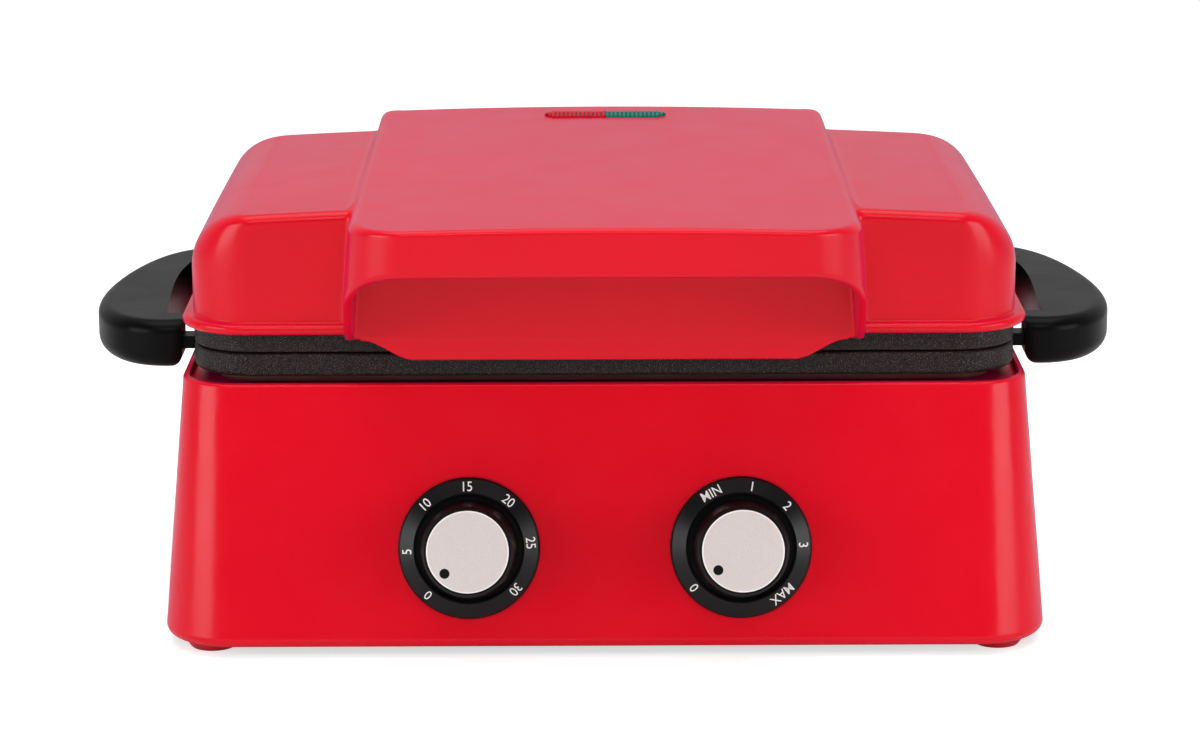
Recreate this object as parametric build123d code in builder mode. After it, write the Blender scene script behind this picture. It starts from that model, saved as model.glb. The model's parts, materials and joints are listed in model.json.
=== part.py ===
"""Lava cake maker: a countertop cooker with a hinged lid, two dials and six mould cups.

Millimetres. +Z is up, the dials face -Y, and the origin is on the table under the middle of the object.
"""

import os
from math import atan2, cos, radians, sin

from build123d import *

os.makedirs("parts", exist_ok=True)

# Base housing: a drafted shell whose front panel leans back
COVER_Z, COVER_TOP_Z = 5.6, 8.0
BASE_BOTTOM_Z, BASE_TOP_Z = 4.0, 103.0
BASE_BOTTOM_HALF, BASE_TOP_HALF = 170.0, 162.0
BASE_BOTTOM_FRONT, BASE_TOP_FRONT = -111.5, -90.0
BASE_BOTTOM_BACK, BASE_TOP_BACK = 140.5, 133.5
BASE_BOTTOM_RADIUS, BASE_TOP_RADIUS = 28.0, 20.0
BASE_WALL = 2.2
LEDGE_TOP_Z, LEDGE_WIDTH = 100.0, 20.0
POST_X, POST_FRONT_Y, POST_BACK_Y = 155.0, -58.0, 99.0
POST_RADIUS = 4.5

# Cooking plates, one over the other with a small gap between them
PLATE_HALF, PLATE_FRONT, PLATE_BACK = 158.0, -86.5, 127.5
PLATE_RADIUS, PLATE_SKIRT = 24.0, 4.0
PLATE_MID_Y = (PLATE_FRONT + PLATE_BACK) / 2
LOWER_PLATE_Z, SPLIT_Z, PLATE_GAP = 105.0, 114.0, 0.6
UPPER_PLATE_Z, UPPER_PLATE_TOP_Z = SPLIT_Z + PLATE_GAP, 124.0
DECK = 2.5
DECK_SINK, RIM_WIDTH = 2.0, 6.0
CUP_PITCH_X, CUP_PITCH_Y = 98.0, 96.0
CUP_MOUTH_R, CUP_FLOOR_R, CUP_DEPTH, CUP_WALL, CUP_FLANGE_R = 40.0, 31.0, 45.0, 2.5, 44.0
DIMPLE_MOUTH_R, DIMPLE_TOP_R, DIMPLE_DEPTH = 31.0, 24.0, 8.0
PLATE_BOSS_X, PLATE_BOSS_FRONT_Y, PLATE_BOSS_BACK_Y = 136.0, -65.0, 106.0
BOSS_RADIUS = 4.5
SCREW_HOLE_R = 1.6
PILLAR_X = CUP_PITCH_X / 2
SHIELD_Z, SHEET = 52.0, 1.0

# Lid shell
RIM_HALF, RIM_FRONT, RIM_BACK = 162.0, -92.5, 131.5
RIM_Z, RIM_TOP_Z, RIM_RADIUS = 122.5, 126.5, 26.0
SEAT_Z = 124.2
LID_HALF, LID_FRONT, LID_BACK, LID_RADIUS = 158.0, -88.8, 127.8, 24.0
LID_WALL = 2.2
LID_CROWN_Z, CROWN_RADIUS = 171.4, 2550.0
SHOULDER_RADIUS = 22.0
FRONT_EDGE_R, BACK_EDGE_R, BACK_FALL = 5.0, 34.0, 3.0
PANEL_CROWN_Z = 175.4
PANEL_TOP_HALF, PANEL_FOOT_HALF, PANEL_BACK = 94.0, 98.5, 118.0
PANEL_BACK_R, PANEL_EDGE_R = 10.0, 4.0
HOOD_FRONT, HOOD_CORNER_R = -151.0, 24.0
HOOD_LIP_Z = 158.3
TONGUE_Z, TONGUE_HALF, TONGUE_TOP_HALF = 113.3, 72.0, 89.0

# Indicator lamps in the lid
LENS_X, LENS_Y, LENS_HALF_DEPTH, LENS_SHOULDER, LENS_TIP = 1.5, 87.5, 6.0, 22.0, 25.5
LENS_TOP_Z, LENS_BOTTOM_Z = 176.2, 171.4

# Dials on the front panel
DIAL_X, DIAL_Z = 51.7, 42.0
BEZEL_R, BEZEL_WELL_R, BEZEL_EDGE, BEZEL_RISE = 27.0, 20.4, 2.4, 4.6
KNOB_FOOT_R, KNOB_TOP_R, KNOB_FOOT, KNOB_TOP = 18.6, 16.8, 2.6, 21.2
CAP_R, CAP_TOP = 15.4, 22.0
SHAFT_R = 3.0
DOT_R, DOT_ORBIT, TIMER_DOT_ANGLE, THERMOSTAT_DOT_ANGLE = 1.9, 11.8, 223.0, 217.0

# Hinge
HINGE_Y, HINGE_Z, KNUCKLE_R, PIN_R = 143.0, 112.0, 8.0, 3.0
HINGE_X = 92.0
ARM_HALF, EAR_GAP, EAR = 7.5, 0.3, 6.0

# Side handles
HANDLE_BOTTOM_Z, HANDLE_TOP_Z = 98.4, 117.5
TAB_BOTTOM_Z, TAB_TOP_Z = 106.0, 111.0

# Feet and cord gland
FOOT_X, FOOT_FRONT_Y, FOOT_BACK_Y, FOOT_R, FOOT_PAD_R = 151.0, -91.0, 119.0, 10.5, 8.5
GLAND_X, GLAND_Z, GLAND_BORE_R = 110.0, 30.0, 3.6

WALL_RUN = BASE_TOP_Z - BASE_BOTTOM_Z
FRONT_LEAN = atan2(BASE_TOP_FRONT - BASE_BOTTOM_FRONT, WALL_RUN)
REAR_LEAN = atan2(BASE_BOTTOM_BACK - BASE_TOP_BACK, WALL_RUN)


def save(part, label):
    """Labels a finished piece and writes its STEP file."""
    part.label = label
    export_step(part, f"parts/{label}.step")


def frame_sketch(half, front, back, radius):
    """A rounded rectangle, symmetric in X and running from front to back in Y."""
    with Locations((0, (front + back) / 2)):
        RectangleRounded(2 * half, back - front, radius)


def front_wall_y(z):
    """Y of the front panel's outer face at height z."""
    share = (z - BASE_BOTTOM_Z) / WALL_RUN
    return BASE_BOTTOM_FRONT + share * (BASE_TOP_FRONT - BASE_BOTTOM_FRONT)


def rear_wall_y(z):
    """Y of the rear wall's outer face at height z."""
    share = (z - BASE_BOTTOM_Z) / WALL_RUN
    return BASE_BOTTOM_BACK + share * (BASE_TOP_BACK - BASE_BOTTOM_BACK)


def dial_plane(x):
    """The plane of the front panel at a dial, with its normal pointing out of the panel."""
    return Plane(
        origin=(x, front_wall_y(DIAL_Z), DIAL_Z),
        x_dir=(1, 0, 0),
        z_dir=(0, -cos(FRONT_LEAN), sin(FRONT_LEAN)),
    )


GLAND = Plane(
    origin=(GLAND_X, rear_wall_y(GLAND_Z), GLAND_Z),
    x_dir=(1, 0, 0),
    z_dir=(0, cos(REAR_LEAN), sin(REAR_LEAN)),
)


def lathe_plane(plane):
    """A plane through a dial's axis: local X is the radius and local Y the height above the panel."""
    return Plane(origin=plane.origin, x_dir=plane.x_dir, z_dir=-plane.y_dir)


CUP_SPOTS = [
    (x * CUP_PITCH_X, PLATE_MID_Y + y * CUP_PITCH_Y / 2) for y in (-1, 1) for x in (-1, 0, 1)
]
CUP_NAMES = [f"mould_cup_{row}_{side}" for row in ("front", "rear") for side in ("left", "middle", "right")]
POST_SPOTS = [(sx * POST_X, y) for sx in (-1, 1) for y in (POST_FRONT_Y, POST_BACK_Y)]
BOSS_SPOTS = [
    (sx * PLATE_BOSS_X, y) for sx in (-1, 1) for y in (PLATE_BOSS_FRONT_Y, PLATE_BOSS_BACK_Y)
]
PILLAR_SPOTS = [(sx * PILLAR_X, PLATE_MID_Y) for sx in (-1, 1)]
UPPER_BOSS_SPOTS = [(sx * PILLAR_X, y) for sx in (-1, 1) for y in (-60.0, 79.0)]
FOOT_SPOTS = {
    "foot_front_left": (-FOOT_X, FOOT_FRONT_Y),
    "foot_front_right": (FOOT_X, FOOT_FRONT_Y),
    "foot_rear_left": (-FOOT_X, FOOT_BACK_Y),
    "foot_rear_right": (FOOT_X, FOOT_BACK_Y),
}
TIMER, THERMOSTAT = dial_plane(-DIAL_X), dial_plane(DIAL_X)
BRACKET_SEATS = [
    Plane(
        origin=(x + side * 19, rear_wall_y(88) + 2.5 * cos(REAR_LEAN), 88 + 2.5 * sin(REAR_LEAN)),
        x_dir=(1, 0, 0),
        z_dir=(0, -cos(REAR_LEAN), -sin(REAR_LEAN)),
    )
    for x in (-HINGE_X, HINGE_X)
    for side in (-1, 1)
]
ARM_SEATS = [
    Plane(origin=(x + side * 14, LID_BACK + 2.5, 138), x_dir=(1, 0, 0), z_dir=(0, -1, 0))
    for x in (-HINGE_X, HINGE_X)
    for side in (-1, 1)
]
PIN_SEATS = [
    Plane(origin=(side * 154.5, y, 108.5), x_dir=(0, 1, 0), z_dir=(side, 0, 0))
    for side in (-1, 1)
    for y in (-38.5, 88.5)
]


def drill(planes, radius, depth):
    """Cuts a hole from each plane along its normal in the part being built."""
    with BuildSketch(*planes) as rings:
        Circle(radius)
    extrude(rings.sketch, amount=depth, mode=Mode.SUBTRACT)


# Base housing
with BuildPart() as base_housing:
    for inset, mode in ((0.0, Mode.ADD), (BASE_WALL, Mode.SUBTRACT)):
        with BuildSketch(Plane.XY.offset(BASE_BOTTOM_Z)):
            frame_sketch(
                BASE_BOTTOM_HALF - inset,
                BASE_BOTTOM_FRONT + inset,
                BASE_BOTTOM_BACK - inset,
                BASE_BOTTOM_RADIUS - inset,
            )
        with BuildSketch(Plane.XY.offset(BASE_TOP_Z)):
            frame_sketch(
                BASE_TOP_HALF - inset,
                BASE_TOP_FRONT + inset,
                BASE_TOP_BACK - inset,
                BASE_TOP_RADIUS - inset,
            )
        loft(ruled=True, mode=mode)
        if mode == Mode.ADD:
            fillet(base_housing.faces().sort_by(Axis.Z)[0].edges(), 3.5)
            fillet(base_housing.faces().sort_by(Axis.Z)[-1].edges(), 1.2)
    with BuildSketch(Plane.XY.offset(LEDGE_TOP_Z)):
        frame_sketch(BASE_TOP_HALF - 1, BASE_TOP_FRONT + 1, BASE_TOP_BACK - 1, BASE_TOP_RADIUS)
        with Locations((0, (BASE_TOP_FRONT + BASE_TOP_BACK) / 2)):
            RectangleRounded(
                2 * (BASE_TOP_HALF - LEDGE_WIDTH),
                BASE_TOP_BACK - BASE_TOP_FRONT - 2 * LEDGE_WIDTH,
                30,
                mode=Mode.SUBTRACT,
            )
    extrude(amount=-BASE_WALL)
    with BuildSketch(Plane.XY.offset(LEDGE_TOP_Z - BASE_WALL)):
        with Locations(*POST_SPOTS):
            Circle(POST_RADIUS)
    extrude(amount=COVER_TOP_Z - LEDGE_TOP_Z + BASE_WALL)
    with BuildSketch(Plane.XY.offset(COVER_TOP_Z)):
        with Locations(*POST_SPOTS):
            Circle(1.6)
    extrude(amount=14, mode=Mode.SUBTRACT)
    with BuildSketch(Plane.XY.offset(LEDGE_TOP_Z)):
        with Locations(*BOSS_SPOTS):
            Circle(2.2)
    extrude(amount=-2 * BASE_WALL, mode=Mode.SUBTRACT)
    with BuildSketch(TIMER, THERMOSTAT):
        Circle(5.2)
    extrude(amount=-10, mode=Mode.SUBTRACT)
    with BuildSketch(GLAND):
        Circle(6.2)
    extrude(amount=-10, mode=Mode.SUBTRACT)
    drill(BRACKET_SEATS, SCREW_HOLE_R, 14)
save(base_housing.part, "base_housing")

# Bottom cover with vent slots
with BuildPart() as bottom_cover:
    with BuildSketch(Plane.XY.offset(COVER_Z)):
        frame_sketch(BASE_BOTTOM_HALF - 5, BASE_BOTTOM_FRONT + 5, BASE_BOTTOM_BACK - 5, 22)
        with Locations(*POST_SPOTS):
            Circle(2.2, mode=Mode.SUBTRACT)
        for x in (-70, 70):
            with Locations((x, PLATE_MID_Y)):
                with GridLocations(9, 40, 9, 3):
                    SlotOverall(26, 3.4, rotation=90, mode=Mode.SUBTRACT)
    extrude(amount=COVER_TOP_Z - COVER_Z)
save(bottom_cover.part, "bottom_cover")

# Feet
for name, (x, y) in FOOT_SPOTS.items():
    with BuildPart() as foot:
        with BuildSketch(Plane.XZ.offset(-y)):
            with BuildLine():
                bottom = Line((x, 0), (x + FOOT_PAD_R, 0))
                ThreePointArc(bottom @ 1, (x + FOOT_R - 0.7, 1.7), (x + FOOT_R, COVER_Z))
                Polyline((x + FOOT_R, COVER_Z), (x, COVER_Z), (x, 0))
            make_face()
        revolve(axis=Axis((x, y, 0), (0, 0, 1)))
    save(foot.part, name)


def add_cups(spots, mouth_z, mouth_r, floor_r, depth, up):
    """Adds a tapered cup at each spot of the current part, hanging down, or standing up where up is 1."""
    for radius_extra, length_extra, mode in ((CUP_WALL, CUP_WALL, Mode.ADD), (0, 0, Mode.SUBTRACT)):
        for spot in spots:
            with BuildSketch(Plane.XY.offset(mouth_z)) as mouth:
                with Locations(spot):
                    Circle(mouth_r + radius_extra)
            with BuildSketch(Plane.XY.offset(mouth_z + up * (depth + length_extra))) as end:
                with Locations(spot):
                    Circle(floor_r + radius_extra)
            loft([mouth.sketch, end.sketch], mode=mode)


# Lower cooking plate
DECK_TOP_Z = SPLIT_Z - DECK_SINK
DECK_UNDER_Z = DECK_TOP_Z - DECK
with BuildPart() as lower_cooking_plate:
    with BuildSketch(Plane.XY.offset(LOWER_PLATE_Z)):
        frame_sketch(PLATE_HALF, PLATE_FRONT, PLATE_BACK, PLATE_RADIUS)
    extrude(amount=SPLIT_Z - LOWER_PLATE_Z)
    fillet(lower_cooking_plate.faces().sort_by(Axis.Z)[0].edges(), 2.0)
    fillet(lower_cooking_plate.faces().sort_by(Axis.Z)[-1].edges(), 1.0)
    with BuildSketch(Plane.XY.offset(LOWER_PLATE_Z)):
        frame_sketch(
            PLATE_HALF - PLATE_SKIRT,
            PLATE_FRONT + PLATE_SKIRT,
            PLATE_BACK - PLATE_SKIRT,
            PLATE_RADIUS - PLATE_SKIRT,
        )
    extrude(amount=DECK_UNDER_Z - LOWER_PLATE_Z, mode=Mode.SUBTRACT)
    with BuildSketch(Plane.XY.offset(DECK_TOP_Z)):
        frame_sketch(PLATE_HALF - RIM_WIDTH, PLATE_FRONT + RIM_WIDTH, PLATE_BACK - RIM_WIDTH, 18)
    extrude(amount=DECK_SINK, mode=Mode.SUBTRACT)
    with BuildSketch(Plane.XY.offset(DECK_TOP_Z)):
        with Locations(*CUP_SPOTS):
            Circle(CUP_MOUTH_R)
    extrude(amount=-DECK, mode=Mode.SUBTRACT)
    mouths = lower_cooking_plate.edges().filter_by(GeomType.CIRCLE)
    mouths = mouths.filter_by(lambda e: abs(e.radius - CUP_MOUTH_R) < 0.1)
    fillet(mouths.group_by(Axis.Z)[-1], 1.2)
    with BuildSketch(Plane.XY.offset(LEDGE_TOP_Z)):
        with Locations(*BOSS_SPOTS):
            Circle(BOSS_RADIUS)
    extrude(amount=DECK_UNDER_Z + 0.5 - LEDGE_TOP_Z)
    with BuildSketch(Plane.XY.offset(LEDGE_TOP_Z)):
        with Locations(*BOSS_SPOTS):
            Circle(SCREW_HOLE_R)
    extrude(amount=8, mode=Mode.SUBTRACT)
    drill(PIN_SEATS, 1.7, 8)
save(lower_cooking_plate.part, "lower_cooking_plate")

# Pillars between the lower plate and its heat shield
with BuildPart() as shield_pillars:
    with BuildSketch(Plane.XY.offset(SHIELD_Z + SHEET)):
        with Locations(*PILLAR_SPOTS):
            Circle(BOSS_RADIUS)
            Circle(SCREW_HOLE_R, mode=Mode.SUBTRACT)
    extrude(amount=DECK_UNDER_Z - SHIELD_Z - SHEET)
save(shield_pillars.part, "shield_pillars")

# Mould cups: tapered cups that hang in the deck's holes by their flanges
for (x, y), name in zip(CUP_SPOTS, CUP_NAMES):
    with BuildPart() as cup:
        add_cups([(x, y)], DECK_UNDER_Z, CUP_MOUTH_R, CUP_FLOOR_R, CUP_DEPTH - DECK, -1)
        cup_floor = cup.faces().filter_by(GeomType.PLANE)
        cup_floor = cup_floor.filter_by(lambda f: abs(f.center().Z - (DECK_TOP_Z - CUP_DEPTH)) < 0.1)
        fillet(cup_floor.edges(), 6.0)
        fillet(cup.faces().sort_by(Axis.Z)[0].edges(), 3.0)
        with BuildSketch(Plane.XY.offset(DECK_UNDER_Z)):
            with Locations((x, y)):
                Circle(CUP_FLANGE_R)
                Circle(CUP_MOUTH_R + CUP_WALL - 0.5, mode=Mode.SUBTRACT)
        extrude(amount=-1.5)
    save(cup.part, name)


def seats(spots, z, up=1):
    """Planes for screws that stand on the given spots and point up, or down where up is -1."""
    return [Plane(origin=(x, y, z), x_dir=(1, 0, 0), z_dir=(0, 0, up)) for x, y in spots]


def fixing_screws(name, planes, head_r, head, shank_r, shank):
    """A group of cross-head screws. Each plane lies under a head, with its normal along the shank."""
    with BuildPart() as screws:
        with BuildSketch(*planes):
            Circle(head_r)
        extrude(amount=-head)
        for plane in planes:
            tops = screws.edges().filter_by(GeomType.CIRCLE)
            tops = tops.filter_by(lambda e: abs(plane.to_local_coords(e.center()).Z + head) < 0.01)
            near = tops.filter_by(lambda e: plane.to_local_coords(e.center()).length < 2 * head_r)
            fillet(near, head * 0.4)
        with BuildSketch(*[plane.offset(-head / 2) for plane in planes]):
            Circle(shank_r)
        extrude(amount=shank + head / 2)
        with BuildSketch(*[plane.offset(-head) for plane in planes]):
            Rectangle(head_r * 1.1, head_r * 0.26)
            Rectangle(head_r * 0.26, head_r * 1.1)
        extrude(amount=head * 0.5, mode=Mode.SUBTRACT)
    save(screws.part, name)


fixing_screws("bottom_cover_screws", seats(POST_SPOTS, COVER_Z), 3.6, 1.8, 1.5, 13)
fixing_screws("lower_plate_screws", seats(BOSS_SPOTS, LEDGE_TOP_Z - BASE_WALL), 3.6, 2.0, 1.5, 9)

# Lower heat shield: a shallow tray under the cups
with BuildPart() as lower_heat_shield:
    with BuildSketch(Plane.XY.offset(SHIELD_Z)):
        frame_sketch(140, -64, 112, 12)
    extrude(amount=9)
    with BuildSketch(Plane.XY.offset(SHIELD_Z + SHEET)):
        frame_sketch(140 - SHEET, -64 + SHEET, 112 - SHEET, 12 - SHEET)
    extrude(amount=9, mode=Mode.SUBTRACT)
    with BuildSketch(Plane.XY.offset(SHIELD_Z)):
        with Locations(*PILLAR_SPOTS):
            Circle(2.0)
    extrude(amount=SHEET, mode=Mode.SUBTRACT)
save(lower_heat_shield.part, "lower_heat_shield")
fixing_screws("shield_screws", seats(PILLAR_SPOTS, SHIELD_Z), 3.6, 2.0, 1.5, 8)


def heating_element(name, run_z, end_z):
    """A tubular element that runs round inside the plate's skirt and ends in two pins."""
    side, front, back, pin_y = 146.0, -78.5, 118.5, 95.0
    corner, turn, bend = 12.0, 10.0, 8.0
    with BuildPart() as element:
        with BuildLine() as route:
            FilletPolyline(
                (-PILLAR_X, pin_y, end_z),
                (-PILLAR_X, pin_y, run_z),
                (-PILLAR_X, back, run_z),
                (-side, back, run_z),
                (-side, front, run_z),
                (side, front, run_z),
                (side, back, run_z),
                (PILLAR_X, back, run_z),
                (PILLAR_X, pin_y, run_z),
                (PILLAR_X, pin_y, end_z),
                radius=[bend, turn, corner, corner, corner, corner, turn, bend],
            )
        with BuildSketch(Plane(origin=route.line @ 0, z_dir=route.line % 0)):
            Circle(3.3)
        sweep()
    save(element.part, name)


heating_element("lower_heating_element", 104.9, 84.0)
heating_element("upper_heating_element", 122.8, 133.5)

# Upper cooking plate
CEILING_Z = UPPER_PLATE_Z + DECK_SINK
UPPER_DECK_TOP_Z = CEILING_Z + DECK
UPPER_BOSS_TOP_Z = 135.5
with BuildPart() as upper_cooking_plate:
    with BuildSketch(Plane.XY.offset(UPPER_PLATE_Z)):
        frame_sketch(PLATE_HALF, PLATE_FRONT, PLATE_BACK, PLATE_RADIUS)
    extrude(amount=UPPER_PLATE_TOP_Z - UPPER_PLATE_Z)
    fillet(upper_cooking_plate.faces().sort_by(Axis.Z)[0].edges(), 1.0)
    with BuildSketch(Plane.XY.offset(UPPER_PLATE_TOP_Z)):
        frame_sketch(
            PLATE_HALF - PLATE_SKIRT,
            PLATE_FRONT + PLATE_SKIRT,
            PLATE_BACK - PLATE_SKIRT,
            PLATE_RADIUS - PLATE_SKIRT,
        )
    extrude(amount=-(UPPER_PLATE_TOP_Z - UPPER_DECK_TOP_Z), mode=Mode.SUBTRACT)
    with BuildSketch(Plane.XY.offset(UPPER_PLATE_Z)):
        frame_sketch(PLATE_HALF - RIM_WIDTH, PLATE_FRONT + RIM_WIDTH, PLATE_BACK - RIM_WIDTH, 18)
    extrude(amount=DECK_SINK, mode=Mode.SUBTRACT)
    add_cups(CUP_SPOTS, CEILING_Z, DIMPLE_MOUTH_R, DIMPLE_TOP_R, DIMPLE_DEPTH, 1)
    dimple_roofs = upper_cooking_plate.faces().filter_by(GeomType.PLANE).filter_by(Axis.Z)
    dimple_roofs = dimple_roofs.filter_by(lambda f: abs(f.center().Z - (CEILING_Z + DIMPLE_DEPTH)) < 0.1)
    fillet(dimple_roofs.edges(), 5.0)
    with BuildSketch(Plane.XY.offset(UPPER_DECK_TOP_Z - 0.5)):
        with Locations(*UPPER_BOSS_SPOTS):
            Circle(BOSS_RADIUS)
    extrude(amount=UPPER_BOSS_TOP_Z - UPPER_DECK_TOP_Z + 0.5)
    with BuildSketch(Plane.XY.offset(UPPER_BOSS_TOP_Z)):
        with Locations(*UPPER_BOSS_SPOTS):
            Circle(2.1)
    extrude(amount=-30, mode=Mode.SUBTRACT)
save(upper_cooking_plate.part, "upper_cooking_plate")
fixing_screws("upper_plate_screws", seats(UPPER_BOSS_SPOTS, CEILING_Z), 4.0, 1.4, 1.9, 30)

# Upper heat shield, held between the plate's bosses and the lid's posts
UPPER_SHIELD_Z = 136.0
with BuildPart() as upper_heat_shield:
    with BuildSketch(Plane.XY.offset(UPPER_SHIELD_Z)):
        frame_sketch(146, -76, 116, 14)
        with Locations(*UPPER_BOSS_SPOTS):
            Circle(2.3, mode=Mode.SUBTRACT)
    extrude(amount=SHEET)
save(upper_heat_shield.part, "upper_heat_shield")


def crown_drop(x):
    """How far the crowned top has fallen at x from the middle."""
    return CROWN_RADIUS - (CROWN_RADIUS**2 - x**2) ** 0.5


def crowned_outline(half_top, half_foot, top, foot):
    """XZ outline with a crowned top and straight sides that may spread towards the foot."""
    edge = top - crown_drop(half_top)
    with BuildLine() as outline:
        ThreePointArc((-half_top, edge), (0, top), (half_top, edge))
        Polyline((half_top, edge), (half_foot, foot), (-half_foot, foot), (-half_top, edge))
    make_face(outline.line.edges())
    return edge


def lid_box(inset):
    """The lid's box: the common part of its rounded plan, its crowned section and its side profile."""
    top = LID_CROWN_Z - inset
    with BuildPart() as box:
        with BuildSketch(Plane.XY.offset(SEAT_Z)):
            frame_sketch(LID_HALF - inset, LID_FRONT + inset, LID_BACK - inset, LID_RADIUS - inset)
        extrude(amount=60)
        with BuildSketch(Plane.XZ) as section:
            edge = crowned_outline(LID_HALF - inset, LID_HALF - inset, top, SEAT_Z)
            shoulders = section.vertices().filter_by(lambda v: abs(v.Y - edge) < 0.1)
            fillet(shoulders, SHOULDER_RADIUS - inset)
        extrude(amount=200, both=True, mode=Mode.INTERSECT)
        with BuildSketch(Plane.YZ) as profile:
            front, back = LID_FRONT + inset, LID_BACK - inset
            with BuildLine():
                ThreePointArc((front, top), ((front + back) / 2, top - BACK_FALL / 4), (back, top - BACK_FALL))
                Polyline((back, top - BACK_FALL), (back, 0), (front, 0), (front, top))
            make_face()
            fillet(profile.vertices().filter_by(lambda v: v.Y > 1).sort_by(Axis.X)[-1], BACK_EDGE_R - inset)
            fillet(profile.vertices().filter_by(lambda v: v.Y > 1).sort_by(Axis.X)[0], FRONT_EDGE_R)
        extrude(amount=200, both=True, mode=Mode.INTERSECT)
    return box.part


# Raised panel that runs forward into the hood
with BuildPart() as panel_block:
    with BuildSketch(Plane.XZ.offset(-PANEL_BACK)):
        crowned_outline(PANEL_TOP_HALF, PANEL_FOOT_HALF, PANEL_CROWN_Z, TONGUE_Z)
    extrude(amount=PANEL_BACK - HOOD_FRONT)
    for end_y, radius in ((HOOD_FRONT, HOOD_CORNER_R), (PANEL_BACK, PANEL_BACK_R)):
        corners = panel_block.edges().filter_by(lambda e: abs(e.center().Y - end_y) < 0.1 and e.length > 40)
        fillet(corners.filter_by(lambda e: abs(e.center().X) > 80), radius)
    fillet(panel_block.faces().sort_by(Axis.Z)[-1].edges(), PANEL_EDGE_R)
    with BuildSketch(Plane.YZ):
        with BuildLine():
            arc_z, arc_y = PANEL_CROWN_Z - PANEL_BACK_R, PANEL_BACK - PANEL_BACK_R
            Polyline((-93, 121.5), (-87, 121.5), (-87, 130), (PANEL_BACK, 130), (PANEL_BACK, arc_z))
            CenterArc((arc_y, arc_z), PANEL_BACK_R, 0, 90)
            start_y = HOOD_FRONT - 5
            Polyline((arc_y, PANEL_CROWN_Z), (start_y, PANEL_CROWN_Z), (start_y, HOOD_LIP_Z + 1))
            Spline(
                (start_y, HOOD_LIP_Z + 1),
                (HOOD_FRONT, HOOD_LIP_Z),
                (HOOD_FRONT + 9.5, 151.5),
                (-127, 141),
                (-113, 129),
                (-93, 121.5),
                tangents=((1, 0), (1, 0)),
            )
        make_face()
    extrude(amount=120, both=True, mode=Mode.INTERSECT)

# Finger scoop under the hood
with BuildPart() as scoop:
    with BuildSketch(Plane.XZ.offset(95)):
        crowned_outline(PANEL_TOP_HALF - 3, PANEL_FOOT_HALF - 3, PANEL_CROWN_Z - 4, 100)
    extrude(amount=-HOOD_FRONT - 3 - 95)
    scoop_corners = scoop.edges().filter_by(
        lambda e: abs(e.center().Y - HOOD_FRONT - 3) < 0.1 and abs(e.center().X) > 80 and e.length > 40
    )
    fillet(scoop_corners, HOOD_CORNER_R - 3)

# Hood: the panel's front end, open underneath, with the tongue that hangs in front of the plates
with BuildPart() as lid_hood:
    add(panel_block.part)
    with BuildSketch(Plane.XZ.offset(-LID_FRONT)):
        Rectangle(500, 500)
    extrude(amount=100, mode=Mode.INTERSECT)
    with BuildSketch(Plane.XZ.offset(-RIM_FRONT - 0.3)):
        with BuildLine():
            Polyline(
                (-TONGUE_TOP_HALF - 3, 121),
                (-TONGUE_TOP_HALF - 3, 140),
                (TONGUE_TOP_HALF + 3, 140),
                (TONGUE_TOP_HALF + 3, 121),
            )
            Line((-TONGUE_HALF, TONGUE_Z), (TONGUE_HALF, TONGUE_Z))
            for side in (-1, 1):
                Spline(
                    (side * (TONGUE_TOP_HALF + 3), 121),
                    (side * (TONGUE_TOP_HALF - 4), 119.6),
                    (side * (TONGUE_HALF + 5), 115.2),
                    (side * TONGUE_HALF, TONGUE_Z),
                    tangents=((-side, 0), (-side, 0)),
                )
        make_face()
    extrude(amount=2.8)
    add(scoop.part, mode=Mode.SUBTRACT)
    with BuildSketch(Plane.XZ.offset(-LID_FRONT)):
        crowned_outline(PANEL_TOP_HALF - 2.6, PANEL_FOOT_HALF - 2.6, PANEL_CROWN_Z - 2.6, 128)
    extrude(amount=3.4, mode=Mode.SUBTRACT)
save(lid_hood.part, "lid_hood")

with BuildPart() as panel_rear:
    add(panel_block.part)
    with BuildSketch(Plane.XZ.offset(-LID_FRONT)):
        Rectangle(500, 500)
    extrude(amount=-300, mode=Mode.INTERSECT)

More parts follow.
